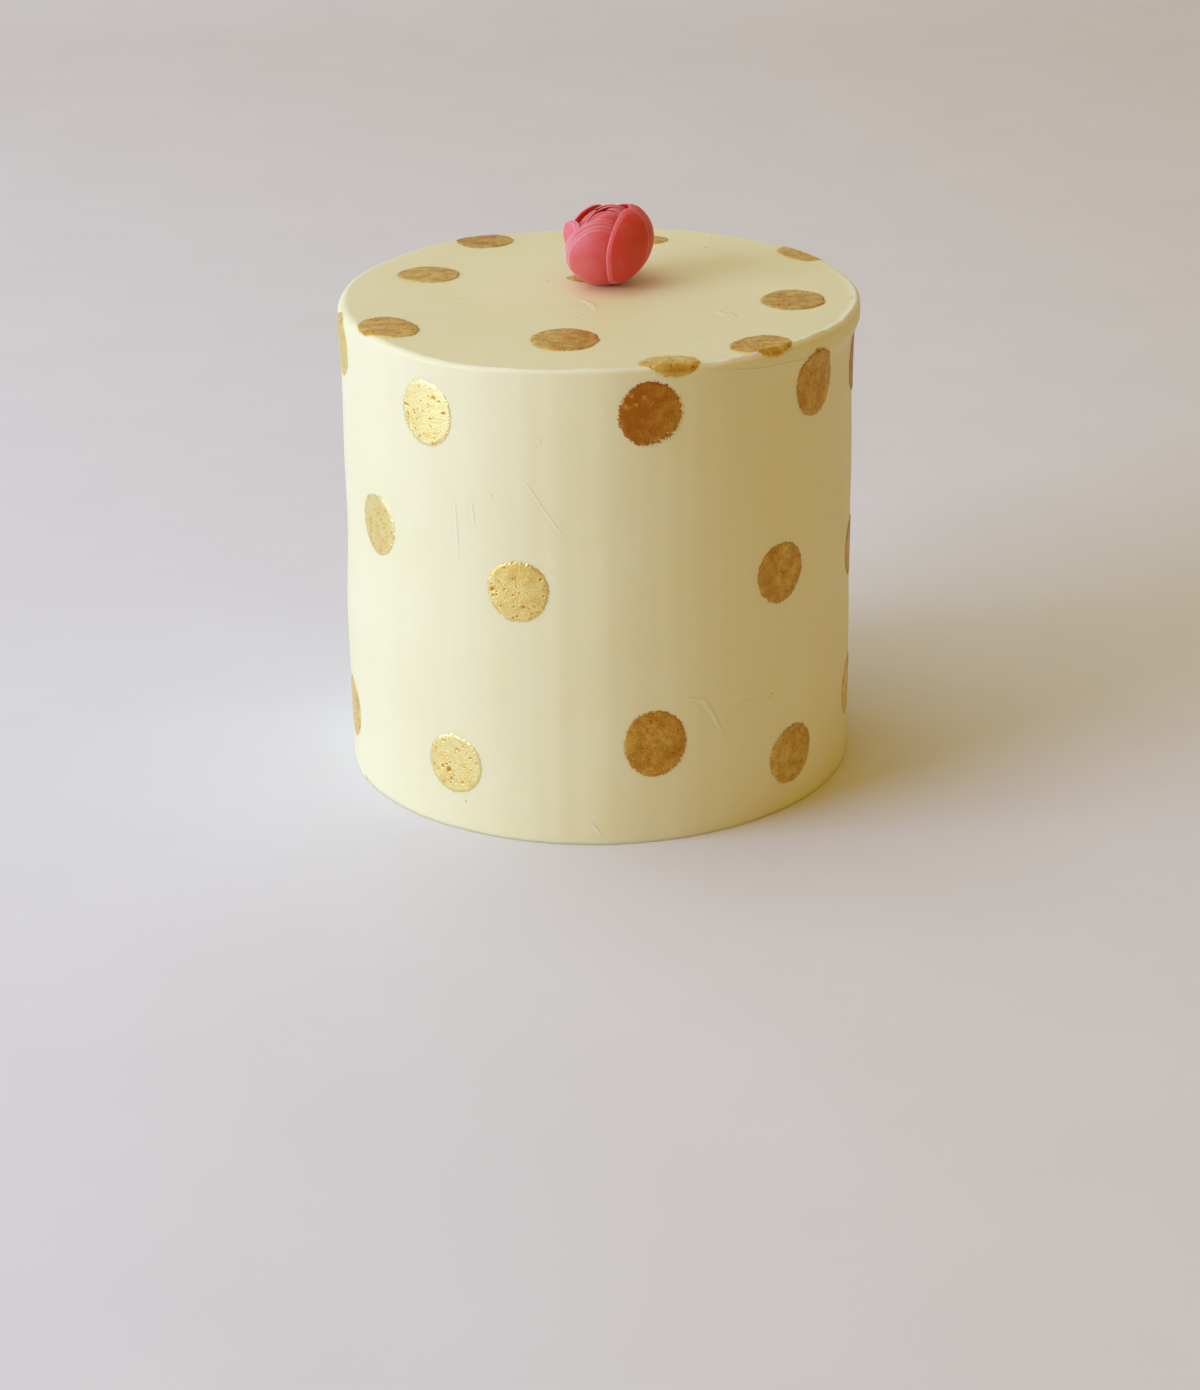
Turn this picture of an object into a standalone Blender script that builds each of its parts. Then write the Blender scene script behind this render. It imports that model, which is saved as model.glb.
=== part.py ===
"""A tall round layer cake, scraped smooth in pale buttercream, with brushed gold dots and a sugar rosebud.

The origin is the middle of the cake's flat foot, +Z is up and -Y is the front. The cake is one solid:
it is uncut, so nothing inside it is drawn. Each gold dot and each petal is a thin solid of its own.
"""

import math
import random

import bmesh
import bpy
from mathutils import Vector

MM = 0.001

# The iced cake
CAKE_RADIUS = 83.0 * MM
CAKE_HEIGHT = 156.6 * MM
FOOT_RADIUS = 82.6 * MM
RIM_ROUND = 1.1 * MM
CAKE_SIDES = 84
SIDE_ROWS = 9

# Unevenness left by the scraper: places on the rim where it stands high or low
# (angle in degrees from +X, rise in mm, spread in degrees)
RIM_RISES = (
    (-150, 0.6, 15), (-124, -0.7, 14), (-86, 0.7, 16), (-58, -0.6, 13), (-25, -0.6, 14),
    (36, 0.5, 16), (70, 0.3, 14), (103, -0.7, 15), (124, 0.2, 12), (150, -0.3, 14),
)
RIM_FADE = 9.0 * MM
# Slow waves in the side: lobes round the cake, start in radians, height in mm in which the wave's lobes
# turn once round, and size in mm
SIDE_WAVES = ((3, 0.6, 1000.0, 0.25), (2, 0.0, 58.0, 0.18))
# The fuller foot on the left, where the icing was laid on thicker: size, angle, spread in degrees, and the
# heights between which it fades out
FULL_FOOT = 1.3 * MM
FULL_FOOT_ANGLE = -178.0
FULL_FOOT_SPREAD = 48.0
FULL_FOOT_LOW = 52.0 * MM
FULL_FOOT_HIGH = 92.0 * MM
# The swirl the scraper left in the top: size, radians turned from the middle to the rim, and the share of
# the radius inside which it is calm
TOP_WAVE = 0.15 * MM
TOP_WAVE_TURN = 9.0
TOP_WAVE_ARMS = 2
TOP_WAVE_CALM = 0.3
# The share of the radius at which the side's unevenness starts to fade into the top
TOP_EDGE = 0.75

# The lip that the last pass of the scraper pushed out round the front right of the rim. It stands full
# down to one depth below the top and has run out at the other.
LIP_OUT = 2.0 * MM
LIP_FULL_DEPTH = 4.6 * MM
LIP_END_DEPTH = 11.4 * MM
LIP_ANGLE = -12.0
LIP_SPREAD = 27.0

# Rings that the cake's skin is drawn through: shares of the flat top, and depths below the top in mm
TOP_RINGS = (0.2, 0.4, 0.6, 0.75, 0.87, 0.95)
BEND_RINGS = (0.0, 0.5, 1.0)
LIP_RINGS = (3.0, 4.8, 6.6, 8.8, 11.4)

# Gold dots: thin round dabs of lustre that follow the icing. The tall ones have a half length of their own.
DOT_GAP = 0.3 * MM
DOT_THICKNESS = 0.4 * MM
DOT_RADIUS = 10.2 * MM
TALL_DOTS = {"dot_upper_02": 10.9 * MM, "dot_upper_04": 11.4 * MM, "dot_lower_03": 11.4 * MM}
DOT_CORNERS = 16
DOT_RAGGED = 0.03

# Dots on the side, in three loose rows: angle in degrees and height in mm of the middle
SIDE_DOTS = {
    "dot_upper": (
        (-169, 146.0), (-129.6, 138.5), (-78.8, 142.7), (-35.2, 142.0), (-6, 137.0),
        (40, 137.5), (78, 141.5), (116, 136.0), (155, 140.0),
    ),
    "dot_middle": (
        (-147.8, 95.1), (-107.8, 85.2), (-46.4, 83.1), (-7, 73.8),
        (27, 88.0), (68, 80.5), (108, 89.0), (152, 79.0),
    ),
    "dot_lower": (
        (-169.3, 21.0), (-124.4, 22.8), (-78.2, 34.2), (-42.2, 19.0), (-9, 25.5),
        (30, 33.0), (72, 21.0), (113, 30.0), (151, 24.5),
    ),
}
# Dots that lie wholly on the top: x, y, half width and half depth in mm
TOP_DOTS = (
    (-54.8, 26.0, 10.3, 9.6), (-9.8, -49.0, 10.9, 11.8), (62.5, -8.8, 10.0, 11.1),
    (15.6, 65.0, 9.2, 6.5), (1.0, 19.6, 10.6, 5.6),
)
# Dots that run over the rim: angle in degrees, distance of the middle from the cake's axis, measured
# over the icing, half width and half length in mm
RIM_DOTS = (
    (-152.4, 73.8, 12.0, 9.2), (-73.4, 77.4, 9.8, 8.0), (-47.9, 75.5, 10.4, 8.6),
    (33.0, 83.4, 10.6, 8.4), (119.4, 76.6, 9.7, 9.2),
)

# The sugar rosebud: overlapping petals laid in layers over a ball, round a heart, on top of the cake
ROSE_X = 4.1 * MM
ROSE_Y = 15.2 * MM
BALL_MIDDLE = 13.8 * MM
BALL_GIRTH = 16.1 * MM
BALL_HEIGHT = 14.1 * MM
BALL_LOWER_STRETCH = 1.11
LAYER_GIRTH_STEP = 1.2 * MM
LAYER_HEIGHT_STEP = 0.74 * MM
PETAL_THICKNESS = 0.56 * MM
PETAL_CORNERS = 16
FLARE_WIDTH = 0.7
FLARE_START = -0.5
FLARE_SIDE = -0.35
ROSE_LEAN = 0.11

# Petals: azimuth, elevation, half width and half height in degrees as seen from the ball's middle, the share
# by which it narrows toward its foot (or widens, if below 0), how far its tip turns to the right in degrees,
# the layer, counted inward from the outermost, how much further out the left edge lies than the middle, in
# mm, and how far the tip turns outward, in mm
PETALS = {
    "petal_front_right": (-62, 3, 29, 58, 0.08, 13, 0, 0.0, 0.0),
    "petal_front_left": (-104, -14, 45, 52, -0.3, 2, 1, 1.1, 0.0),
    "petal_front_under": (-109, -4, 53, 54, -0.15, 4, 2, 1.2, 0.0),
    "petal_right": (-12, 6, 38, 60, 0.0, 10, 1, 0.0, 0.0),
    "petal_left": (-174, -3, 29, 41, -0.1, 4, 2.6, 0.5, 3.3),
    "petal_back_left": (122, -2, 31, 52, 0.15, 0, 1, 0.0, 0.0),
    "petal_back_right": (60, -4, 35, 48, 0.15, 0, 0, 0.0, 0.0),
    "petal_back": (92, 2, 43, 54, 0.15, 0, 2, 0.0, 0.0),
    "petal_inner_right": (-10, 8, 34, 54, 0.15, 6, 2.2, 0.0, 0.0),
    "petal_inner_back": (80, 8, 44, 53, 0.15, 0, 3, 0.0, 0.0),
    "petal_inner_left": (160, 8, 42, 54, 0.15, 0, 4, 0.0, 0.0),
    "petal_inner_front": (-90, 15, 44, 54, 0.15, 4, 3.3, 0.0, 0.0),
    "petal_heart_left": (-118, 24, 50, 60, 0.15, 0, 5, 0.0, 0.0),
    "petal_heart_right": (40, 18, 54, 66, 0.15, 0, 4.7, 0.0, 0.0),
}
# The heart under the petals: radius and height above the icing in mm
HEART_PROFILE = (
    (5.0, 1.05), (5.6, 3.0), (6.4, 6.0), (7.3, 11.0), (7.3, 14.0), (6.0, 18.5), (4.2, 21.4), (1.8, 23.0),
)
HEART_SIDES = 14

ICING_COLOUR = (0.86, 0.80, 0.55, 1.0)
GOLD_COLOUR = (0.62, 0.42, 0.13, 1.0)
ROSE_COLOUR = (0.72, 0.09, 0.12, 1.0)


def clear_scene():
    """Empties the scene before anything is made."""
    for thing in list(bpy.data.objects):
        bpy.data.objects.remove(thing, do_unlink=True)


def plain_material(name, colour, roughness, metallic):
    """A Principled material of one colour."""
    material = bpy.data.materials.new(name)
    material.use_nodes = True
    shader = material.node_tree.nodes["Principled BSDF"]
    shader.inputs["Base Color"].default_value = colour
    shader.inputs["Roughness"].default_value = roughness
    shader.inputs["Metallic"].default_value = metallic
    return material


def add_object(name, mesh, material):
    """Turns a finished bmesh into a named object, with its faces pointing out."""
    bmesh.ops.recalc_face_normals(mesh, faces=mesh.faces)
    data = bpy.data.meshes.new(name)
    mesh.to_mesh(data)
    mesh.free()
    data.materials.append(material)
    data.shade_smooth()
    data.set_sharp_from_angle(angle=math.radians(40))
    thing = bpy.data.objects.new(name, data)
    bpy.context.collection.objects.link(thing)
    return thing


def bump(angle, middle, spread):
    """A soft hump of height 1 round an angle, all in degrees."""
    off = (angle - middle + 180.0) % 360.0 - 180.0
    return math.exp(-((off / spread) ** 2))


def smooth_step(value):
    """Rises smoothly from 0 to 1 as the value does."""
    value = min(max(value, 0.0), 1.0)
    return value * value * (3.0 - 2.0 * value)


def rim_rise(angle):
    """How far the rim stands above its mean height at an angle."""
    return sum(rise * MM * bump(angle, middle, spread) for middle, rise, spread in RIM_RISES)


def lip_out(angle, height):
    """How far the pushed-out lip stands proud of the side."""
    depth = CAKE_HEIGHT - height
    share = (LIP_END_DEPTH - depth) / (LIP_END_DEPTH - LIP_FULL_DEPTH)
    return LIP_OUT * bump(angle, LIP_ANGLE, LIP_SPREAD) * smooth_step(share)


def side_swell(angle, height):
    """The side's slight in and out, from the scraper, the foot's smaller radius and the thicker icing."""
    turn = math.radians(angle)
    out = -(CAKE_RADIUS - FOOT_RADIUS) * (1.0 - height / CAKE_HEIGHT)
    for lobes, start, pitch, size in SIDE_WAVES:
        out += size * MM * math.sin(lobes * turn + start - 2.0 * math.pi * height / (pitch * MM))
    low = smooth_step((FULL_FOOT_HIGH - height) / (FULL_FOOT_HIGH - FULL_FOOT_LOW))
    return out + FULL_FOOT * low * bump(angle, FULL_FOOT_ANGLE, FULL_FOOT_SPREAD)


def skin(angle, path, lift=0.0):
    """A point on the icing. The path runs from the axis over the top, round the rim and down the side."""
    flat = CAKE_RADIUS - RIM_ROUND
    bend = RIM_ROUND * math.pi / 2.0
    slope = min(max((path - flat) / RIM_ROUND, 0.0), math.pi / 2.0)
    radius = min(path, flat) + RIM_ROUND * math.sin(slope)
    height = CAKE_HEIGHT - RIM_ROUND + RIM_ROUND * math.cos(slope) - max(path - flat - bend, 0.0)
    edge = smooth_step((radius / CAKE_RADIUS - TOP_EDGE) / (1.0 - TOP_EDGE))
    radius_out = edge * (side_swell(angle, height) + lip_out(angle, height))
    from_rim = max(CAKE_RADIUS - path, path - CAKE_RADIUS, 0.0)
    rise = rim_rise(angle) * math.exp(-from_rim / RIM_FADE)
    turn = math.radians(angle)
    share = radius / CAKE_RADIUS
    swirl = TOP_WAVE * math.cos(slope) * math.sin(TOP_WAVE_TURN * share + TOP_WAVE_ARMS * turn)
    radius += radius_out + lift * math.sin(slope)
    height += rise + swirl * smooth_step(share / TOP_WAVE_CALM) + lift * math.cos(slope)
    return Vector((radius * math.cos(turn), radius * math.sin(turn), height))


def path_at_height(height):
    """The distance over the icing from the axis to a height on the side."""
    return CAKE_RADIUS - RIM_ROUND + RIM_ROUND * math.pi / 2.0 + CAKE_HEIGHT - RIM_ROUND - height


def cake_rows():
    """The paths of the rings that the cake's skin is drawn through, without its middle and its foot."""
    flat = CAKE_RADIUS - RIM_ROUND
    bend = RIM_ROUND * math.pi / 2.0
    top = [flat * share for share in TOP_RINGS]
    rim = [flat + bend * share for share in BEND_RINGS]
    lip = [path_at_height(CAKE_HEIGHT - depth * MM) for depth in LIP_RINGS]
    below = CAKE_HEIGHT - LIP_RINGS[-1] * MM
    side = [path_at_height(below * (1.0 - row / SIDE_ROWS)) for row in range(1, SIDE_ROWS)]
    return top + rim + lip + side


def make_cake(material):
    """The iced cake, one solid: rings of points joined into a skin, closed by a flat foot."""
    mesh = bmesh.new()
    rings = []
    angles = [360.0 * side / CAKE_SIDES for side in range(CAKE_SIDES)]
    for path in cake_rows():
        rings.append([mesh.verts.new(skin(angle, path)) for angle in angles])
    foot = path_at_height(0.0)
    ground = [skin(angle, foot) for angle in angles]
    rings.append([mesh.verts.new((point.x, point.y, 0.0)) for point in ground])
    for upper, lower in zip(rings, rings[1:]):
        for side in range(CAKE_SIDES):
            after = (side + 1) % CAKE_SIDES
            mesh.faces.new((upper[side], lower[side], lower[after], upper[after]))
    middle = mesh.verts.new(skin(0.0, 0.0))
    for side in range(CAKE_SIDES):
        mesh.faces.new((middle, rings[0][side], rings[0][(side + 1) % CAKE_SIDES]))
    mesh.faces.new(rings[-1][::-1])
    bmesh.ops.triangulate(mesh, faces=mesh.faces)
    return add_object("cake", mesh, material)


def thin_solid(name, flat_mesh, outer_point, inner_point, material):
    """Gives a flat mesh of triangles an outer and an inner face, split alike, and joins their edges."""
    solid = bmesh.new()
    outer = {}
    inner = {}
    for vert in flat_mesh.verts:
        outer[vert] = solid.verts.new(outer_point(vert.co.x, vert.co.y))
        inner[vert] = solid.verts.new(inner_point(vert.co.x, vert.co.y))
    for face in flat_mesh.faces:
        solid.faces.new([outer[vert] for vert in face.verts])
        solid.faces.new([inner[vert] for vert in reversed(face.verts)])
    for edge in flat_mesh.edges:
        if edge.is_boundary:
            start, end = edge.verts
            solid.faces.new((outer[start], outer[end], inner[end]))
            solid.faces.new((outer[start], inner[end], inner[start]))
    flat_mesh.free()
    return add_object(name, solid, material)


def flat_disc(corners, rings):
    """A disc of radius 1 as a fan of triangles, its spokes cut into a number of rings."""
    disc = bmesh.new()
    bmesh.ops.create_circle(disc, cap_ends=True, cap_tris=True, segments=corners, radius=1.0)
    spokes = [edge for edge in disc.edges if not edge.is_boundary]
    bmesh.ops.subdivide_edges(disc, edges=spokes, cuts=rings - 1)
    return disc


def dot_disc(half_width, half_length, random_draw):
    """The flat outline of one dab of gold, a little ragged, in metres."""
    disc = flat_disc(DOT_CORNERS, 2)
    for vert in disc.verts:
        reach = 1.0 + DOT_RAGGED * random_draw.uniform(-1.0, 1.0)
        vert.co.x *= half_width * reach
        vert.co.y *= half_length * reach
    return disc


def lay_dot(name, disc, place, material):
    """Bends a flat dab onto the icing. The place function turns flat x and y into an angle and a path."""
    bmesh.ops.triangulate(disc, faces=disc.faces)

    def outer_point(x, y):
        return skin(*place(x, y), lift=DOT_GAP + DOT_THICKNESS)

    def inner_point(x, y):
        return skin(*place(x, y), lift=DOT_GAP)

    return thin_solid(name, disc, outer_point, inner_point, material)


def cut_along(disc, lines):
    """Splits a flat disc along lines of constant y, so that it bends cleanly there."""
    for line in lines:
        geometry = disc.verts[:] + disc.edges[:] + disc.faces[:]
        point = (0.0, line, 0.0)
        bmesh.ops.bisect_plane(disc, geom=geometry, plane_co=point, plane_no=(0.0, 1.0, 0.0), dist=1e-6)


def make_wrapped_dot(name, angle, path, half_width, half_length, random_draw, material):
    """A dot on the side or across the rim. Its y runs down the path, its x round the cake."""
    disc = dot_disc(half_width, half_length, random_draw)
    flat = CAKE_RADIUS - RIM_ROUND
    bend = RIM_ROUND * math.pi / 2.0
    lines = [flat + bend * share - path for share in (0.0, 0.5, 1.0)]
    cut_along(disc, [line for line in lines if abs(line) < half_length])

    def place(across, along):
        down = path + along
        return angle + math.degrees(across / min(down, CAKE_RADIUS)), down

    return lay_dot(name, disc, place, material)


def make_top_dot(name, x, y, half_width, half_depth, random_draw, material):
    """A dot that lies wholly on the flat top."""
    disc = dot_disc(half_width, half_depth, random_draw)

    def place(across, along):
        return math.degrees(math.atan2(y + along, x + across)), math.hypot(x + across, y + along)

    return lay_dot(name, disc, place, material)


def make_dots(material):
    """All the gold dots, each a node of its own."""
    random_draw = random.Random(11)
    for row, places in SIDE_DOTS.items():
        for number, (angle, height) in enumerate(places, 1):
            name = f"{row}_{number:02d}"
            path = path_at_height(height * MM)
            half_length = TALL_DOTS.get(name, DOT_RADIUS)
            make_wrapped_dot(name, angle, path, DOT_RADIUS, half_length, random_draw, material)
    for number, (angle, path, half_width, half_length) in enumerate(RIM_DOTS, 1):
        name = f"dot_rim_{number:02d}"
        make_wrapped_dot(name, angle, path * MM, half_width * MM, half_length * MM, random_draw, material)
    for number, (x, y, half_width, half_depth) in enumerate(TOP_DOTS, 1):
        name = f"dot_top_{number:02d}"
        make_top_dot(name, x * MM, y * MM, half_width * MM, half_depth * MM, random_draw, material)


def petal_point(shape, side, up, inward):
    """A point of a petal. Side and up run over a disc of radius 1, and inward is a depth in metres."""
    azimuth, elevation, half_width, half_height, narrowing, twist, layer, left_out, flare = shape
    turn = math.radians(azimuth + twist * max(up, 0.0) ** 2)
    lean = math.radians(side * half_width * (1.0 - narrowing * smooth_step(-up)))
    climb = math.radians(elevation + up * half_height)
    out = math.cos(lean) * math.cos(climb)
    round_ball = math.sin(lean)
    climbed = math.cos(lean) * math.sin(climb)
    rolled = smooth_step((up - FLARE_START) / (1.0 - FLARE_START))
    tip = flare * MM * rolled * math.exp(-(((side - FLARE_SIDE) / FLARE_WIDTH) ** 2))
    edge_out = left_out * MM * min(side, 0.0) ** 2
    girth = BALL_GIRTH - layer * LAYER_GIRTH_STEP + edge_out + tip - inward
    height = BALL_HEIGHT - layer * LAYER_HEIGHT_STEP - inward
    if climbed < 0.0:
        height *= BALL_LOWER_STRETCH
    x = out * math.cos(turn) - round_ball * math.sin(turn)
    y = out * math.sin(turn) + round_ball * math.cos(turn)
    rise = climbed * height
    return Vector((
        ROSE_X + x * girth + ROSE_LEAN * rise,
        ROSE_Y + y * girth,
        CAKE_HEIGHT + BALL_MIDDLE + rise,
    ))


def make_petals(material):
    """The petals, each a thin cupped solid with both faces split into triangles alike."""
    for name, shape in PETALS.items():
        disc = flat_disc(PETAL_CORNERS, 3)
        bmesh.ops.triangulate(disc, faces=disc.faces)
        thin_solid(
            name,
            disc,
            lambda side, up: petal_point(shape, side, up, 0.0),
            lambda side, up: petal_point(shape, side, up, PETAL_THICKNESS),
            material,
        )


def make_heart(material):
    """The solid heart of the bud, turned round its axis, with a flat foot that stands on the icing."""
    mesh = bmesh.new()
    rings = []
    for radius, height in HEART_PROFILE:
        ring = []
        for side in range(HEART_SIDES):
            turn = 2.0 * math.pi * side / HEART_SIDES
            x = ROSE_X + radius * MM * math.cos(turn) + ROSE_LEAN * (height * MM - BALL_MIDDLE)
            y = ROSE_Y + radius * MM * math.sin(turn)
            ring.append(mesh.verts.new((x, y, CAKE_HEIGHT + height * MM)))
        rings.append(ring)
    for lower, upper in zip(rings, rings[1:]):
        for side in range(HEART_SIDES):
            after = (side + 1) % HEART_SIDES
            mesh.faces.new((lower[side], lower[after], upper[after], upper[side]))
    mesh.faces.new(rings[0][::-1])
    mesh.faces.new(rings[-1])
    bmesh.ops.triangulate(mesh, faces=mesh.faces)
    return add_object("rose_heart", mesh, material)


clear_scene()
icing = plain_material("icing", ICING_COLOUR, 0.5, 0.0)
gold = plain_material("gold", GOLD_COLOUR, 0.4, 0.8)
rose = plain_material("rose", ROSE_COLOUR, 0.55, 0.0)
make_cake(icing)
make_dots(gold)
make_petals(rose)
make_heart(rose)
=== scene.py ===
"""The looks of a tall buttercream cake with brushed gold dots and a sugar rosebud."""

import math

import bpy
import numpy as np
from mathutils import Matrix, Vector


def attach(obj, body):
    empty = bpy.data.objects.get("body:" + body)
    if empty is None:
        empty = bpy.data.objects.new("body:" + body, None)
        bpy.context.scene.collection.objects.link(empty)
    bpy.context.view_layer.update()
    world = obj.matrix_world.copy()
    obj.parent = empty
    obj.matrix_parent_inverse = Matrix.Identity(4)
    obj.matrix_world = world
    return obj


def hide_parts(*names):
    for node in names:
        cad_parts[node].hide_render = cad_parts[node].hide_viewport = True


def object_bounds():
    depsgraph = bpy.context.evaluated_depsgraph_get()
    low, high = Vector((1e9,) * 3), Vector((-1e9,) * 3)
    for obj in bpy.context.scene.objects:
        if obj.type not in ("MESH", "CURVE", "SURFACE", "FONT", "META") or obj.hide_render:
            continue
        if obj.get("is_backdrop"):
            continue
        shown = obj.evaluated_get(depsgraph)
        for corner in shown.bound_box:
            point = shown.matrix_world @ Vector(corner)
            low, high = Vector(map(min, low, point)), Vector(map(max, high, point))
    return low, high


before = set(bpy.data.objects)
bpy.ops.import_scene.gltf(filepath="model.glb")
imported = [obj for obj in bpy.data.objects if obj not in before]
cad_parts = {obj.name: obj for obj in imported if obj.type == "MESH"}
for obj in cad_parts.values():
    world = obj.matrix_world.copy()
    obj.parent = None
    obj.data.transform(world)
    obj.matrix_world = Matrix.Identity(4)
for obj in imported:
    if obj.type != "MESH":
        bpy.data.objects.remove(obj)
cad_low, cad_high = (np.array(corner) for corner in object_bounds())

# The iced cake
# Layers of sponge under pale buttercream, uncut, so only the icing shows. It was turned against a straight
# scraper, which left a nearly true side, a crisp and slightly uneven rim and a small lip at the front right.
MM = 0.001
CAKE_RADIUS = 83.0
CAKE_HEIGHT = 156.6
FOOT_RADIUS = 82.6
RIM_ROUND = 1.0
# Where the rim is rounder: angle in degrees, extra radius in mm, spread in degrees
RIM_SOFTER = ((-172.0, 2.2, 34.0), (-42.0, 0.6, 42.0))

# Where the rim stands high or low: angle in degrees, rise in mm, spread in degrees
RIM_RISES = (
    (-150, 0.6, 15), (-124, -0.7, 14), (-86, 0.7, 16), (-58, -0.6, 13), (-25, -0.6, 14),
    (36, 0.5, 16), (70, 0.3, 14), (103, -0.7, 15), (124, 0.2, 12), (150, -0.3, 14),
)
RIM_FADE = 9.0
# Slow waves in the side: lobes, start in radians, height in mm of one turn of the lobes, size in mm
SIDE_WAVES = ((3, 0.6, 1000.0, 0.25), (2, 0.0, 58.0, 0.18))
FULL_FOOT = 1.3
FULL_FOOT_ANGLE = -178.0
FULL_FOOT_SPREAD = 48.0
FULL_FOOT_LOW = 52.0
FULL_FOOT_HIGH = 92.0
TOP_WAVE = 0.15
TOP_WAVE_TURN = 9.0
TOP_WAVE_ARMS = 2
TOP_WAVE_CALM = 0.3
TOP_EDGE = 0.75

LIP_OUT = 2.0
LIP_FULL_DEPTH = 4.6
LIP_END_DEPTH = 11.4
LIP_ANGLE = -12.0
LIP_SPREAD = 27.0
# The crest is the fine raised edge that the scraper left along the front of the rim
CREST_RISE = 0.75
CREST_WIDTH = 0.65
CREST_IN = 0.2
CREST_ANGLE = -58.0
CREST_SPREAD = 56.0
# Its height wanders along the rim: waves round the cake, start in radians, share of the height
CREST_WAVES = ((19, 0.4, 0.25), (43, 2.1, 0.2), (89, 1.2, 0.12))
# Faint upright bands from the scraper's edge: how many waves, the fewest and most round the cake, size in mm
SCRAPE_WAVES = 14
SCRAPE_FEWEST = 6
SCRAPE_MOST = 70
SCRAPE_SIZE = 0.035
SCRAPE_LEAN = 0.012
# How much smaller the finer bands are
SCRAPE_FALL = 0.4
FOOT_RAGGED = 0.3
FOOT_RAGGED_HEIGHT = 1.4

SIDES = 480
TOP_ROWS = 34
# How strongly the rows of the top crowd toward the rim
TOP_CROWDING = 1.4
BEND_ROWS = 6
LIP_ROWS = 24
SIDE_ROWS = 118

draws = np.random.default_rng(7)
scrape_counts = np.round(np.geomspace(SCRAPE_FEWEST, SCRAPE_MOST, SCRAPE_WAVES))
scrape_starts = draws.uniform(0.0, 2.0 * np.pi, SCRAPE_WAVES)
scrape_leans = draws.uniform(-SCRAPE_LEAN, SCRAPE_LEAN, SCRAPE_WAVES)
scrape_sizes = SCRAPE_SIZE * (SCRAPE_FEWEST / scrape_counts) ** SCRAPE_FALL


def smooth_step(value):
    """Rises smoothly from 0 to 1 as the value does."""
    value = np.clip(value, 0.0, 1.0)
    return value * value * (3.0 - 2.0 * value)


def bump(angle, middle, spread):
    """A soft hump of height 1 round an angle, all in degrees."""
    off = (angle - middle + 180.0) % 360.0 - 180.0
    return np.exp(-((off / spread) ** 2))


def rim_round(angle):
    """The radius of the rim's rounding, which is larger at the left shoulder and the front right."""
    return RIM_ROUND + sum(more * bump(angle, middle, spread) for middle, more, spread in RIM_SOFTER)


def scrape(angle, height):
    """The faint upright bands that the scraper left in the side."""
    turn = np.radians(angle)
    out = 0.0
    for count, start, lean, size in zip(scrape_counts, scrape_starts, scrape_leans, scrape_sizes):
        out = out + size * np.sin(count * turn + start + lean * height)
    return out


def side_out(angle, height):
    """How far the side stands out from a true cylinder, from its foot, its waves and its lip."""
    turn = np.radians(angle)
    out = -(CAKE_RADIUS - FOOT_RADIUS) * (1.0 - height / CAKE_HEIGHT)
    for lobes, start, pitch, size in SIDE_WAVES:
        out = out + size * np.sin(lobes * turn + start - 2.0 * np.pi * height / pitch)
    low = smooth_step((FULL_FOOT_HIGH - height) / (FULL_FOOT_HIGH - FULL_FOOT_LOW))
    out = out + FULL_FOOT * low * bump(angle, FULL_FOOT_ANGLE, FULL_FOOT_SPREAD)
    share = (LIP_END_DEPTH - (CAKE_HEIGHT - height)) / (LIP_END_DEPTH - LIP_FULL_DEPTH)
    out = out + LIP_OUT * bump(angle, LIP_ANGLE, LIP_SPREAD) * smooth_step(share)
    return out + scrape(angle, height)


def skin(angle, path, lift=0.0):
    """Points on the icing, in mm. The path runs from the axis over the top, round the rim and down."""
    angle, path = np.broadcast_arrays(np.asarray(angle, float), np.asarray(path, float))
    round_off = rim_round(angle)
    flat = CAKE_RADIUS - round_off
    slope = np.clip((path - flat) / round_off, 0.0, np.pi / 2.0)
    below = np.maximum(path - flat - round_off * np.pi / 2.0, 0.0)
    radius = np.minimum(path, flat) + round_off * np.sin(slope)
    height = CAKE_HEIGHT - round_off + round_off * np.cos(slope) - below
    edge = smooth_step((radius / CAKE_RADIUS - TOP_EDGE) / (1.0 - TOP_EDGE))
    radius_out = edge * side_out(angle, height)
    rise = sum(high * bump(angle, middle, spread) for middle, high, spread in RIM_RISES)
    rise = rise * np.exp(-np.abs(path - CAKE_RADIUS) / RIM_FADE)
    crest = CREST_RISE * np.exp(-(((path - flat + CREST_IN) / CREST_WIDTH) ** 2))
    turn = np.radians(angle)
    wander = 1.0 + sum(size * np.sin(count * turn + start) for count, start, size in CREST_WAVES)
    crest = crest * wander * bump(angle, CREST_ANGLE, CREST_SPREAD)
    share = radius / CAKE_RADIUS
    swirl = TOP_WAVE * np.cos(slope) * np.sin(TOP_WAVE_TURN * share + TOP_WAVE_ARMS * turn)
    radius = radius + radius_out + lift * np.sin(slope)
    height = height + rise + crest + swirl * smooth_step(share / TOP_WAVE_CALM) + lift * np.cos(slope)
    return np.stack((radius * np.cos(turn), radius * np.sin(turn), height), axis=-1)


def path_at_height(height, angle=0.0):
    """The distance over the icing from the axis to a height on the side."""
    round_off = rim_round(angle)
    return CAKE_RADIUS - round_off + round_off * np.pi / 2.0 + CAKE_HEIGHT - round_off - height


def ring_faces(rows, sides, start=0):
    """Quads between rows of points, each row a closed ring of the same number of points."""
    upper = np.arange(rows - 1)[:, None] * sides + start
    here = np.arange(sides)[None, :]
    after = (here + 1) % sides
    faces = np.stack((upper + here, upper + sides + here, upper + sides + after, upper + after), axis=-1)
    return faces.reshape(-1, 4).tolist()


def fan_faces(middle, first, sides, outward):
    """Triangles from a middle point to a ring of points."""
    turn = 1 if outward else -1
    return [[middle, first + side, first + (side + 1) % sides][::turn] for side in range(sides)]


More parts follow.
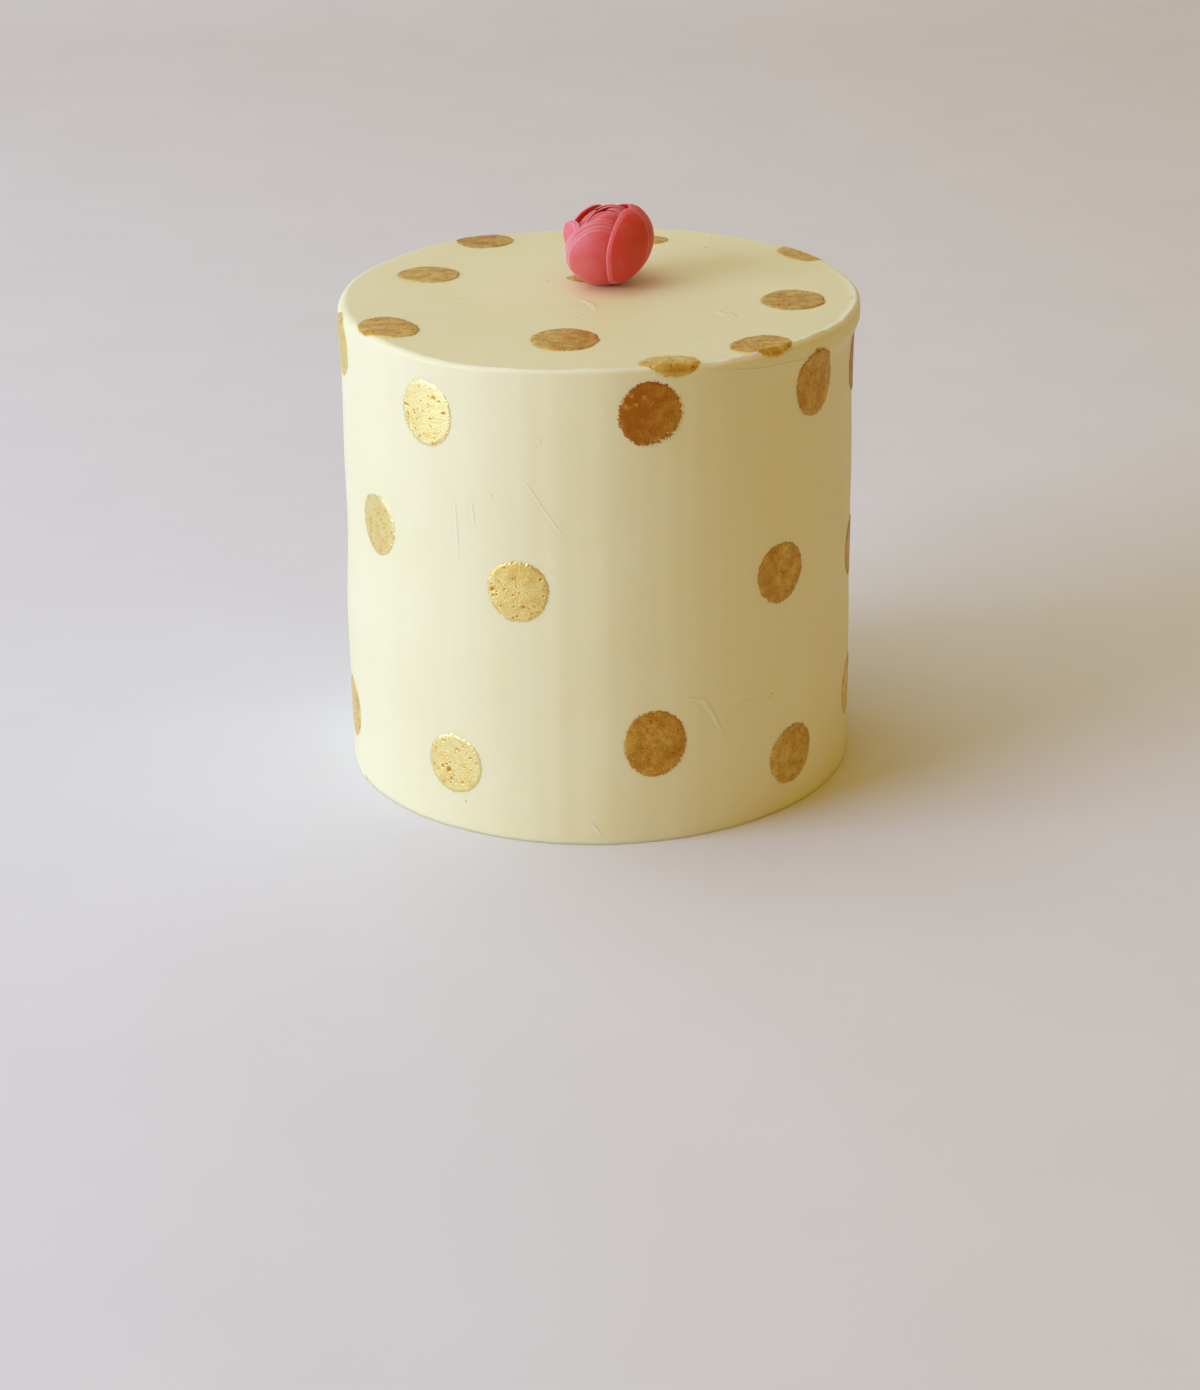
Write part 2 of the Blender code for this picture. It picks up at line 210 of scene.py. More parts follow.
def add_piece(name, points, faces, material, slot, *nodes):
    """Makes a mesh piece from points in mm, kept inside the CAD box, that rides on the cake."""
    data = bpy.data.meshes.new(name)
    points = np.clip(points * MM, cad_low, cad_high)
    data.from_pydata(points.tolist(), [], faces)
    data.validate()
    data.shade_smooth()
    data.materials.append(material)
    piece = bpy.data.objects.new(name, data)
    bpy.context.scene.collection.objects.link(piece)
    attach(piece, "root")
    if nodes:
        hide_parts(*nodes)
    return piece


def set_attribute(piece, name, values):
    """Gives each point of a piece a number that its material reads."""
    attribute = piece.data.attributes.new(name, "FLOAT", "POINT")
    attribute.data.foreach_set("value", np.asarray(values, np.float32))


class Nodes:
    """Adds nodes to a new Principled material, and joins them."""

    def __init__(self, name, **values):
        """Values are those of the shader's own sockets, which are the same all over the piece."""
        self.material = bpy.data.materials.new(name)
        self.material.use_nodes = True
        self.tree = self.material.node_tree
        self.shader = self.tree.nodes["Principled BSDF"]
        for socket, value in values.items():
            self.shader.inputs[socket.replace("_", " ")].default_value = value
        self.place = self.tree.nodes.new("ShaderNodeTexCoord").outputs["Object"]

    def add(self, kind, links=None, **settings):
        """A new node, with its sockets joined or set by name."""
        node = self.tree.nodes.new("ShaderNode" + kind)
        for setting, value in settings.items():
            setattr(node, setting, value)
        for socket, value in (links or {}).items():
            self.join(value, node.inputs[socket])
        return node

    def join(self, value, socket):
        """Leads another node's socket, or a plain value, into a socket."""
        if isinstance(value, bpy.types.NodeSocket):
            self.tree.links.new(value, socket)
        else:
            socket.default_value = value

    def stretched(self, x, y, z):
        """The place on the object, scaled along each axis. Below 1 a pattern grows longer along it."""
        scaled = self.add("VectorMath", {0: self.place, 1: (x, y, z)}, operation="MULTIPLY")
        return scaled.outputs["Vector"]

    def noise(self, size_mm, detail=2.0, place=None):
        """Soft cloudy noise, whose largest clouds are about so many mm across."""
        scale = 1.0 / (size_mm * MM)
        links = {"Vector": place or self.place, "Scale": scale, "Detail": detail}
        return self.add("TexNoise", links).outputs["Fac"]

    def ramp(self, value, *stops):
        """Colours for a value, from stops that each hold a position and a colour."""
        node = self.add("ValToRGB", {"Fac": value})
        elements = node.color_ramp.elements
        for number, (position, colour) in enumerate(stops):
            element = elements[number] if number < 2 else elements.new(position)
            element.position = position
            element.color = colour
        return node.outputs["Color"]

    def between(self, value, low, high, new_low, new_high):
        """Brings a value from one range to another, and stops at its ends."""
        links = {"Value": value, "From Min": low, "From Max": high, "To Min": new_low, "To Max": new_high}
        return self.add("MapRange", links).outputs["Result"]

    def math(self, operation, first, second):
        """The result of one sum on two values."""
        return self.add("Math", {0: first, 1: second}, operation=operation).outputs["Value"]

    def mix(self, share, first, second):
        """A mix of two colours. The share is that of the second."""
        return self.add("MixRGB", {"Fac": share, "Color1": first, "Color2": second}).outputs["Color"]

    def relief(self, *layers):
        """Bump from pairs of a height and the distance in mm that a height of 1 stands for."""
        normal = None
        for height, depth_mm in layers:
            links = {"Height": height, "Distance": depth_mm * MM, "Strength": 1.0}
            if normal is not None:
                links["Normal"] = normal
            normal = self.add("Bump", links).outputs["Normal"]
        self.tree.links.new(normal, self.shader.inputs["Normal"])

    def finish(self, **links):
        """Leads the last nodes into the shader, and gives the material."""
        for socket, value in links.items():
            self.tree.links.new(value, self.shader.inputs[socket.replace("_", " ")])
        return self.material


ICING_PALE = (0.90, 0.85, 0.53, 1.0)
ICING_DEEP = (0.89, 0.82, 0.48, 1.0)
# Sizes in mm of the icing's blotches, upright bands, smears and grain
BLOTCH_SIZE = 26.0
BAND_SIZE = 9.0
SMEAR_SIZE = 2.6
GRAIN_SIZE = 0.35
# The fine crest of the rim is painted paler and whiter: a painted highlight for the light caught on it
ICING_CREST_HIGHLIGHT = (0.93, 0.91, 0.86, 1.0)
CREST_HIGHLIGHT_WIDTH = 1.0
ICING_DEPTH = (1.0, 0.75, 0.35)
nodes = Nodes(
    "buttercream", Subsurface_Weight=0.25, Subsurface_Scale=0.003, Subsurface_Radius=ICING_DEPTH,
    Specular_IOR_Level=0.5,
)
blotches = nodes.noise(BLOTCH_SIZE, 3.0)
bands = nodes.noise(BAND_SIZE, 2.0, nodes.stretched(1.0, 1.0, 0.08))
smears = nodes.noise(SMEAR_SIZE, 4.0, nodes.stretched(1.0, 1.0, 0.45))
grain = nodes.noise(GRAIN_SIZE, 3.0)
tint = nodes.math("ADD", nodes.math("MULTIPLY", blotches, 0.6), nodes.math("MULTIPLY", bands, 0.4))
# Painted highlight: the icing's colour is mixed toward a paler, whiter one along the crest of the rim
crest_highlight = nodes.add("Attribute", attribute_name="crest_highlight").outputs["Fac"]
colour = nodes.mix(crest_highlight, nodes.ramp(tint, (0.32, ICING_PALE), (0.68, ICING_DEEP)), ICING_CREST_HIGHLIGHT)
nodes.relief((bands, 0.05), (smears, 0.03), (grain, 0.01))
buttercream = nodes.finish(Base_Color=colour, Roughness=nodes.between(smears, 0.3, 0.7, 0.42, 0.56))

angles = np.arange(SIDES) * 360.0 / SIDES - 180.0
round_offs = rim_round(angles)
flats = CAKE_RADIUS - round_offs
bends = round_offs * np.pi / 2.0
top_shares = 1.0 - (1.0 - np.linspace(0.0, 1.0, TOP_ROWS + 1)[1:]) ** TOP_CROWDING
lip_depths = np.linspace(0.0, LIP_END_DEPTH, LIP_ROWS + 1)[1:]
side_shares = np.linspace(0.0, 1.0, SIDE_ROWS + 1)[1:]
foot_path = path_at_height(0.0, angles)
rows = [flats * share for share in top_shares]
rows += [flats + bends * share for share in np.linspace(0.0, 1.0, BEND_ROWS + 1)[1:]]
rows += [flats + bends + depth for depth in lip_depths]
below_lip = flats + bends + LIP_END_DEPTH
rows += [below_lip + (foot_path - below_lip) * share for share in side_shares]
paths = np.array(rows)
points = skin(angles[None, :], paths)
heights = points[..., 2]
ragged = draws.uniform(0.0, 1.0, SIDES)
ragged = (np.roll(ragged, 1) + ragged + np.roll(ragged, -1)) / 3.0
tuck = FOOT_RAGGED * ragged * smooth_step(1.0 - heights / FOOT_RAGGED_HEIGHT)
points[..., 0] -= tuck * np.cos(np.radians(angles))
points[..., 1] -= tuck * np.sin(np.radians(angles))
points[-1, :, 2] = 0.0
count = points.shape[0] * SIDES
middle_top = skin(0.0, 0.0)
all_points = np.concatenate((points.reshape(-1, 3), middle_top.reshape(1, 3), np.zeros((1, 3))))
faces = ring_faces(points.shape[0], SIDES)
faces += fan_faces(count, 0, SIDES, True)
faces += fan_faces(count + 1, count - SIDES, SIDES, False)
cake = add_piece("iced_cake", all_points, faces, buttercream, "icing", "cake")
# Where the crest's painted highlight lies, and how strong it is
crest = np.exp(-(((paths - flats + CREST_IN) / CREST_HIGHLIGHT_WIDTH) ** 2)) * bump(angles, CREST_ANGLE, CREST_SPREAD)
set_attribute(cake, "crest_highlight", np.concatenate((crest.ravel(), (0.0, 0.0))))

# Scrape marks and scraps of icing
# Small bits of buttercream that the scraper dragged along, which dried as raised, ragged lines and flakes,
# with one crumb at the foot. Each lies on the icing where the scraper left it.
# On the side: width in mm, height in mm, and points of angle in degrees and height above the foot in mm
SIDE_SCRAPS = {
    "scratch_left": (0.9, 0.06, (
        (-107.3, 123.3), (-104.8, 119.7), (-101.4, 112.0), (-97.6, 104.4), (-95.7, 104.2),
    )),
    "mark_left": (1.3, 0.05, ((-103.0, 135.4), (-102.4, 134.7), (-102.0, 133.6))),
    "dimple_left": (1.6, 0.08, ((-114.2, 116.4), (-113.6, 115.8), (-113.2, 114.9))),
    "ridge_left": (1.3, 0.045, ((-122.5, 112.8), (-122.3, 102.0), (-122.0, 91.9))),
    "ridge_left_short": (1.2, 0.04, ((-118.2, 113.2), (-118.0, 109.0), (-117.7, 104.9))),
    "flake_right": (1.8, 0.13, (
        (-71.3, 48.5), (-69.4, 47.6), (-67.0, 46.2), (-65.1, 42.2), (-63.6, 37.7), (-62.1, 33.1),
    )),
    "curl_right": (0.8, 0.1, ((-59.3, 38.5), (-59.1, 41.5), (-57.5, 42.9), (-55.3, 43.1), (-52.0, 43.0))),
    "fleck_foot": (1.0, 0.1, ((-92.6, 8.4), (-91.5, 5.7), (-90.6, 4.3), (-90.4, 2.2))),
    "crumb_foot": (2.6, 0.5, ((-162.6, 1.6), (-161.0, 1.3), (-159.6, 1.6))),
    "lip_edge": (0.9, 0.16, (
        (-66.3, 155.0), (-60.8, 153.9), (-53.9, 152.5), (-47.3, 151.7), (-43.2, 151.3), (-37.0, 150.6),
    )),
}
# On the top: width in mm, height in mm, and points of x and y in mm
TOP_SCRAPS = {
    "smear_top_right": (3.0, 0.12, (
        (37.3, -21.1), (38.9, -20.1), (40.1, -23.4), (42.0, -22.4), (44.1, -25.8),
    )),
    "ring_top_right": (1.2, 0.06, ((23.1, -46.3), (25.8, -49.6), (29.6, -48.7), (33.1, -44.6))),
    "streak_top_left": (1.2, 0.07, ((-48.3, 0.7), (-45.6, -1.7), (-42.6, -5.2), (-39.0, -6.5))),
    "smear_by_rose": (2.4, 0.05, ((-8.0, -5.6), (-5.1, -4.7), (-1.9, -9.3), (0.0, -17.2))),
    "smear_front": (1.5, 0.04, ((-3.5, -23.6), (-5.6, -21.6), (-7.0, -19.1))),
}
SCRAP_STEP = 0.22
SCRAP_ACROSS = 9
SCRAP_SMOOTH = 9
SCRAP_RAGGED = 0.4
SCRAP_UNEVEN = 0.7
SCRAP_TIP = 0.02
SCRAP_LIFT = 0.01
SCRAP_BURIED = 0.1

SCRAP_COLOUR = (0.91, 0.865, 0.56, 1.0)
SCRAP_DEEP = (0.89, 0.83, 0.49, 1.0)
FIBRE_SIZE = 0.6
nodes = Nodes("dragged_icing", Specular_IOR_Level=0.5)
fibres = nodes.noise(FIBRE_SIZE, 3.0)
nodes.relief((fibres, 0.03))
dragged_icing = nodes.finish(
    Base_Color=nodes.ramp(fibres, (0.35, SCRAP_COLOUR), (0.7, SCRAP_DEEP)),
    Roughness=nodes.between(fibres, 0.3, 0.7, 0.5, 0.65),
)


def on_side(x, y):
    """Turns flat mm, round the cake and above its foot, into an angle and a path over the icing."""
    angle = np.degrees(x / CAKE_RADIUS)
    return angle, path_at_height(y, angle)


def on_flat_top(x, y):
    """Turns x and y on the top, in mm, into an angle and a path over the icing."""
    return np.degrees(np.arctan2(y, x)), np.hypot(x, y)


def lay_scrap(name, width, height, route, place):
    """A low ragged ridge that follows a route over the icing, given in flat mm."""
    route = np.array(route)
    along = np.concatenate(([0.0], np.cumsum(np.hypot(*np.diff(route, axis=0).T))))
    steps = max(int(along[-1] / SCRAP_STEP), 2 * SCRAP_SMOOTH)
    places = np.linspace(0.0, along[-1], steps)
    kernel = np.hanning(SCRAP_SMOOTH)
    kernel /= kernel.sum()
    end = SCRAP_SMOOTH // 2
    line = np.stack([np.interp(places, along, route[:, axis]) for axis in (0, 1)])
    line[:, end:-end] = [np.convolve(axis, kernel, "valid") for axis in line]
    run = np.gradient(line, axis=1)
    run /= np.hypot(*run)
    across = np.linspace(-1.0, 1.0, SCRAP_ACROSS)
    taper = np.sin(np.pi * np.linspace(SCRAP_TIP, 1.0 - SCRAP_TIP, steps)) ** 0.5
    ragged = np.convolve(draws.uniform(-1.0, 1.0, steps + 4), np.ones(5) / 2.5, "valid")
    shift = (width / 2.0 * taper * (1.0 + SCRAP_RAGGED * ragged))[:, None] * across[None, :]
    x = line[0][:, None] - run[1][:, None] * shift
    y = line[1][:, None] + run[0][:, None] * shift
    mound = height * (np.cos(np.pi * across[None, :]) + 1.0) / 2.0 * taper[:, None]
    mound = mound * draws.uniform(SCRAP_UNEVEN, 1.0, (steps, SCRAP_ACROSS))
    top = skin(*place(x, y), SCRAP_LIFT + mound)
    base = skin(*place(x, y), -SCRAP_BURIED)
    rings = np.concatenate((top, base[:, ::-1]), axis=1)
    sides = 2 * SCRAP_ACROSS
    faces = ring_faces(steps, sides)
    faces.append(list(range(sides)))
    faces.append(list(range((steps - 1) * sides, steps * sides))[::-1])
    add_piece(name, rings.reshape(-1, 3), faces, dragged_icing, "icing")


for name, (width, height, route) in SIDE_SCRAPS.items():
    route = [(math.radians(angle) * CAKE_RADIUS, level) for angle, level in route]
    lay_scrap(name, width, height, route, on_side)
for name, (width, height, route) in TOP_SCRAPS.items():
    lay_scrap(name, width, height, route, on_flat_top)

# The gold dots
# Dabs of edible gold lustre mixed with a little spirit, put on with a round sponge. It dried grainy, with
# small pits and open bubbles, breaks up at its edge, and kept faint strokes on the top.
DOT_LIFT = 0.3
DOT_EDGE = 1.6
DOT_EDGE_POWER = 0.6
DOT_RADIUS = 10.2
# Half length in mm of the dots that are taller than wide
TALL_DOTS = {"dot_upper_02": 10.9, "dot_upper_04": 11.4, "dot_lower_03": 11.4}
DOT_REACH = 1.035
DOT_RINGS = 34
DOT_CROWDING = 1.25
DOT_SIDES = 184
RAGGED_LOBES = (2, 3, 5, 8, 13, 21)
DOT_RAGGED = 0.014
DOT_GRAINY = 0.022
DOT_BURIED = 0.12
SMALL_PITS = 34
# Smallest and largest radius of the small pits in mm, the share of the dot that they fill, and their depth
PIT_SMALLEST = 0.22
PIT_LARGEST = 0.42
PIT_AREA = 0.85
PIT_DEPTH = 0.24
PIT_SLOPE = 0.5
# How much darker the pits are painted: painted shade in them
PIT_SHADE = 0.7
# The raised ring round a pit: share of the pit's depth, and its radius and width in pit radii
PIT_RING = 0.2
PIT_RING_RADIUS = 1.3
PIT_RING_WIDTH = 0.3
SPECKS = 60
SPECK_SPREAD = 0.025
SPECK_SIZE = 0.15
SPECK_SIDES = 6
SPECK_BURIED = 0.04
SPECK_RISE = 0.35

# Dots on the side: angle in degrees, height of the middle in mm, and the tone of the lustre, 0 for a thin
# pale coat to 1 for a thick coppery one. The tones are partly that coat and partly painted light: paler on
# the lit left side of the cake, darker and coppery toward its shaded front right.
SIDE_DOTS = {
    "dot_upper": (
        (-169, 146.0, 0.15), (-129.6, 138.5, 0.05), (-78.8, 142.7, 0.93), (-35.2, 142.0, 0.68),
        (-6, 137.0, 0.8), (40, 137.5, 0.55), (78, 141.5, 0.35), (116, 136.0, 0.7), (155, 140.0, 0.3),
    ),
    "dot_middle": (
        (-147.8, 95.1, 0.1), (-107.8, 85.2, 0.25), (-46.4, 83.1, 0.7), (-7, 73.8, 0.6),
        (27, 88.0, 0.4), (68, 80.5, 0.75), (108, 89.0, 0.3), (152, 79.0, 0.5),
    ),
    "dot_lower": (
        (-169.3, 21.0, 0.2), (-124.4, 22.8, 0.1), (-78.2, 34.2, 0.75), (-42.2, 19.0, 0.6), (-9, 25.5, 0.4),
        (30, 33.0, 0.6), (72, 21.0, 0.35), (113, 30.0, 0.6), (151, 24.5, 0.25),
    ),
}
# Dots on the top: x, y, half width and half depth in mm, and tone
TOP_DOTS = (
    (-54.8, 26.0, 10.3, 9.6, 0.5), (-9.8, -49.0, 10.9, 11.8, 0.58), (62.5, -8.8, 10.0, 11.1, 0.56),
    (15.6, 65.0, 9.2, 6.5, 0.5), (1.0, 19.6, 10.6, 5.6, 0.5),
)
# Dots over the rim: angle in degrees, path to the middle, half width and half length in mm, and tone
RIM_DOTS = (
    (-152.4, 73.8, 12.0, 9.2, 0.48), (-73.4, 77.4, 9.8, 8.0, 0.3), (-47.9, 75.5, 10.4, 8.6, 0.5),
    (33.0, 83.4, 10.6, 8.4, 0.45), (119.4, 76.6, 9.7, 9.2, 0.6),
)
# Large open bubbles: x, y in shares of the dot's radius, and radius in mm
LARGE_PITS = {
    "dot_upper_02": (
        (0.35, 0.5, 0.7), (0.55, 0.42, 0.5), (0.7, 0.1, 0.6), (-0.75, 0.1, 0.5), (-0.75, -0.15, 0.5),
    ),
    "dot_middle_02": ((-0.82, -0.02, 0.85), (-0.98, 0.2, 0.5), (-0.8, -0.22, 0.4), (0.75, 0.45, 0.5)),
    "dot_lower_02": (
        (-0.22, -0.25, 0.95), (-0.45, -0.2, 0.6), (-0.1, -0.55, 0.6), (0.3, -0.6, 0.5), (0.1, 0.5, 0.5),
    ),
}
# Raised glossy blisters on a thick smooth coat: x, y in shares of the dot's radius, and radius in mm
BLISTERS = {"dot_upper_03": ((-0.72, 0.3, 0.8), (-0.42, 0.34, 0.6), (-0.2, 0.58, 0.55), (-0.55, 0.6, 0.7))}
BLISTER_HEIGHT = 0.35
# How much paler the blisters are painted: a painted highlight on their glossy tops
BLISTER_PAINTED_HIGHLIGHT = 0.4
# How the tone changes from left to right and from foot to top across a dot, where it is known
TONE_LEANS = {"dot_upper_03": (-0.12, 0.05), "dot_rim_02": (0.0, -0.25), "dot_top_02": (0.1, 0.0)}
TONE_LEAN = 0.06
# The share of a dot's radius over which its edge is broken up, how much that wanders round the dot, and for
# some dots a side in degrees where it is more, and how much more
FRINGE = 0.1
FRINGE_WANDER = 0.3
FRINGE_LOBES = 3
FRINGE_SPREAD = 60.0
FRINGE_SIDES = {"dot_upper_03": (-50.0, 0.22), "dot_upper_04": (110.0, 0.12), "dot_upper_02": (-150.0, 0.1)}

# Colours of the lustre from thin to thick; through the dots' tones they also carry painted light and shade
LUSTRE_TONES = (
    (0.0, (0.92, 0.80, 0.35, 1.0)),
    (0.35, (0.84, 0.60, 0.15, 1.0)),
    (0.65, (0.65, 0.37, 0.045, 1.0)),
    (1.0, (0.45, 0.145, 0.005, 1.0)),
)

# Sizes in mm of the lustre's strokes, patches, grains and bubbles
STROKE_SIZE = 2.4
STROKE_STRETCH = 0.22
PATCH_SIZE = 3.4
LUSTRE_GRAIN_SIZE = 0.4
BUBBLE_SIZE = 0.7
PATCH_SHADE = 0.15


def lustre(name, streak, speckle, grit):
    """Gold lustre. Streak is how strongly the strokes show, which all ran from left to right, speckle is how
    much its grains differ in tone, and grit is their height in mm."""
    nodes = Nodes(name, Metallic=0.72)
    tone = nodes.add("Attribute", attribute_name="lustre_tone").outputs["Fac"]
    strokes = nodes.noise(STROKE_SIZE, 1.0, nodes.stretched(STROKE_STRETCH, 1.0, 1.0))
    patches = nodes.noise(PATCH_SIZE, 3.0)
    grains = nodes.noise(LUSTRE_GRAIN_SIZE, 3.0)
    cells = {"Vector": nodes.place, "Scale": 1.0 / (BUBBLE_SIZE * MM)}
    bubbles = nodes.add("TexVoronoi", cells).outputs["Distance"]
    shift = nodes.between(patches, 0.3, 0.7, -PATCH_SHADE, PATCH_SHADE)
    stroke_shift = nodes.between(strokes, 0.35, 0.65, -streak, streak)
    grain_shift = nodes.between(grains, 0.3, 0.7, -speckle, speckle)
    tone = nodes.math("ADD", tone, nodes.math("ADD", shift, nodes.math("ADD", stroke_shift, grain_shift)))
    nodes.relief((patches, 0.06), (bubbles, 0.06), (grains, grit))
    return nodes.finish(
        Base_Color=nodes.ramp(tone, *LUSTRE_TONES),
        Roughness=nodes.between(grains, 0.3, 0.7, 0.34, 0.55),
    )


sponged_gold = lustre("sponged_gold", 0.0, 0.16, 0.07)
crumbled_gold = lustre("crumbled_gold", 0.0, 0.25, 0.12)
brushed_gold = lustre("brushed_gold", 0.09, 0.12, 0.06)
# The palest coats on the side, on its lit left, are crumbly
CRUMBLED_TONE = 0.26


def make_dot(name, place, half_width, half_length, tone, material):
    """One dab of lustre. Place turns flat x and y in mm into an angle and a path over the icing."""
    turns = np.arange(DOT_SIDES) * 2.0 * np.pi / DOT_SIDES
    outline = DOT_REACH + DOT_GRAINY * draws.uniform(-1.0, 0.6, DOT_SIDES)
    for lobes in RAGGED_LOBES:
        start = draws.uniform(0.0, 2.0 * np.pi)
        outline = outline + DOT_RAGGED / lobes ** 0.5 * np.sin(lobes * turns + start)
    shares = 1.0 - (1.0 - np.linspace(0.0, 1.0, DOT_RINGS + 1)[1:]) ** DOT_CROWDING
    x = half_width * shares[:, None] * (np.cos(turns) * outline)[None, :]
    y = half_length * shares[:, None] * (np.sin(turns) * outline)[None, :]
    from_edge = (1.0 - shares[:, None]) * min(half_width, half_length)
    lift = DOT_LIFT * smooth_step(from_edge / DOT_EDGE) ** DOT_EDGE_POWER * np.ones_like(x)
    pits = []
    for number in range(0 if name in BLISTERS else SMALL_PITS):
        reach = np.sqrt(draws.uniform(0.0, PIT_AREA))
        turn = draws.uniform(0.0, 2.0 * np.pi)
        pits.append((reach * np.cos(turn), reach * np.sin(turn), draws.uniform(PIT_SMALLEST, PIT_LARGEST)))
    pitted = np.zeros_like(x)
    for pit_x, pit_y, pit_radius in (*pits, *LARGE_PITS.get(name, ())):
        away = np.hypot(x - pit_x * half_width, y + pit_y * half_length) / pit_radius
        pitted += np.exp(-(away ** 4))
        depth = min(PIT_DEPTH, PIT_SLOPE * pit_radius)
        lift -= depth * np.exp(-(away ** 4))
        lift += PIT_RING * depth * np.exp(-(((away - PIT_RING_RADIUS) / PIT_RING_WIDTH) ** 2))
    blisters = np.zeros_like(x)
    for spot_x, spot_y, spot_radius in BLISTERS.get(name, ()):
        away = np.hypot(x - spot_x * half_width, y + spot_y * half_length) / spot_radius
        blisters += np.exp(-(away ** 2))
    lift += BLISTER_HEIGHT * blisters
    side_turn, side_fringe = FRINGE_SIDES.get(name, (0.0, 0.0))
    start = draws.uniform(0.0, 2.0 * np.pi)
    fringe = FRINGE * (1.0 + FRINGE_WANDER * np.sin(FRINGE_LOBES * turns + start))
    fringe = fringe + side_fringe * bump(-np.degrees(turns), side_turn, FRINGE_SPREAD)
    stipple = draws.uniform(0.0, 1.0, x.shape)
    stipple = (stipple + np.roll(stipple, 1, axis=1)) / 2.0
    bare = (1.0 - shares[:, None]) / fringe[None, :] < stipple
    lift = np.where(bare, -DOT_BURIED, lift)
    lift[-1] = -DOT_BURIED
    top = skin(*place(x, y), lift)
    middle = skin(*place(np.zeros(1), np.zeros(1)), DOT_LIFT)
    under = skin(*place(np.zeros(1), np.zeros(1)), -3.0 * DOT_BURIED)
    count = DOT_RINGS * DOT_SIDES
    points = np.concatenate((top.reshape(-1, 3), middle, under))
    faces = [face[::-1] for face in ring_faces(DOT_RINGS, DOT_SIDES)]
    faces += fan_faces(count, 0, DOT_SIDES, False)
    faces += fan_faces(count + 1, count - DOT_SIDES, DOT_SIDES, True)
    lean_x, lean_y = TONE_LEANS.get(name, draws.uniform(-TONE_LEAN, TONE_LEAN, 2))
    tones = tone + lean_x * x / half_width - lean_y * y / half_length
    # Painted highlight on the blisters, which are painted paler, and painted shade in the pits, which are
    # painted darker
    tones = tones - BLISTER_PAINTED_HIGHLIGHT * blisters + PIT_SHADE * (1.0 - tone) * pitted
    tones = tones.ravel().tolist() + [tone] * 2

    speck_turn = np.arange(SPECK_SIDES) * 2.0 * np.pi / SPECK_SIDES
    for number in range(SPECKS):
        turn = draws.uniform(0.0, 2.0 * np.pi)
        reach = 1.0 + abs(draws.normal(0.0, SPECK_SPREAD))
        size = SPECK_SIZE * draws.uniform(0.5, 1.4)
        spot_x = half_width * reach * np.cos(turn) + size * np.cos(speck_turn)
        spot_y = half_length * reach * np.sin(turn) + size * np.sin(speck_turn)
        ring = skin(*place(spot_x, spot_y), -SPECK_BURIED)
        peak = skin(*place(spot_x.mean(keepdims=True), spot_y.mean(keepdims=True)), SPECK_RISE * size)
        first = len(points)
        points = np.concatenate((points, ring, peak))
        faces += fan_faces(first + SPECK_SIDES, first, SPECK_SIDES, False)
        faces.append(list(range(first, first + SPECK_SIDES)))
        tones += [tone + draws.uniform(-0.15, 0.1)] * (SPECK_SIDES + 1)
    piece = add_piece("gold_" + name, points, faces, material, "gold", name)
    set_attribute(piece, "lustre_tone", tones)


def over_icing(angle, path):
    """Places a flat dab at an angle and a path: its x runs round the cake and its y down the icing."""

    def place(x, y):
        down = path + y
        return angle + np.degrees(x / np.minimum(down, CAKE_RADIUS)), down

    return place


def on_top(middle_x, middle_y):
    """Places a flat dab on the top by x and y."""

    def place(x, y):
        return np.degrees(np.arctan2(middle_y - y, middle_x + x)), np.hypot(middle_x + x, middle_y - y)

    return place


for row, places in SIDE_DOTS.items():
    for number, (angle, height, tone) in enumerate(places, 1):
        name = f"{row}_{number:02d}"
        place = over_icing(angle, path_at_height(height, angle))
        material = crumbled_gold if tone < CRUMBLED_TONE else sponged_gold
        make_dot(name, place, DOT_RADIUS, TALL_DOTS.get(name, DOT_RADIUS), tone, material)
for number, (angle, path, half_width, half_length, tone) in enumerate(RIM_DOTS, 1):
    make_dot(f"dot_rim_{number:02d}", over_icing(angle, path), half_width, half_length, tone, brushed_gold)
for number, (x, y, half_width, half_depth, tone) in enumerate(TOP_DOTS, 1):
    make_dot(f"dot_top_{number:02d}", on_top(x, y), half_width, half_depth, tone, brushed_gold)

# Stray flecks of gold
# Grains of the same lustre that fell on the icing between the dots. Each is a low mound on the icing.
# On the side: angle in degrees, height in mm, radius in mm. On the top: x, y and radius in mm.
SIDE_FLECKS = ((-121.8, 10.4, 0.5), (-48.6, 42.6, 0.45), (-49.3, 41.7, 0.3))
TOP_FLECKS = (
    (-15.6, 16.5, 0.35), (39.5, -21.2, 0.35), (37.2, 53.8, 0.45), (28.0, -36.9, 0.35), (39.3, 66.2, 0.4),
    (-8.0, -12.4, 0.3), (-44.6, -2.8, 0.35), (80.0, -7.4, 0.45),
)
FLECK_SIDES = 12
FLECK_RAGGED = 0.3
FLECK_HEIGHT = 0.5
FLECK_SHOULDER = 0.35
FLECK_SHOULDER_REACH = 0.6
FLECK_TONE = 0.3

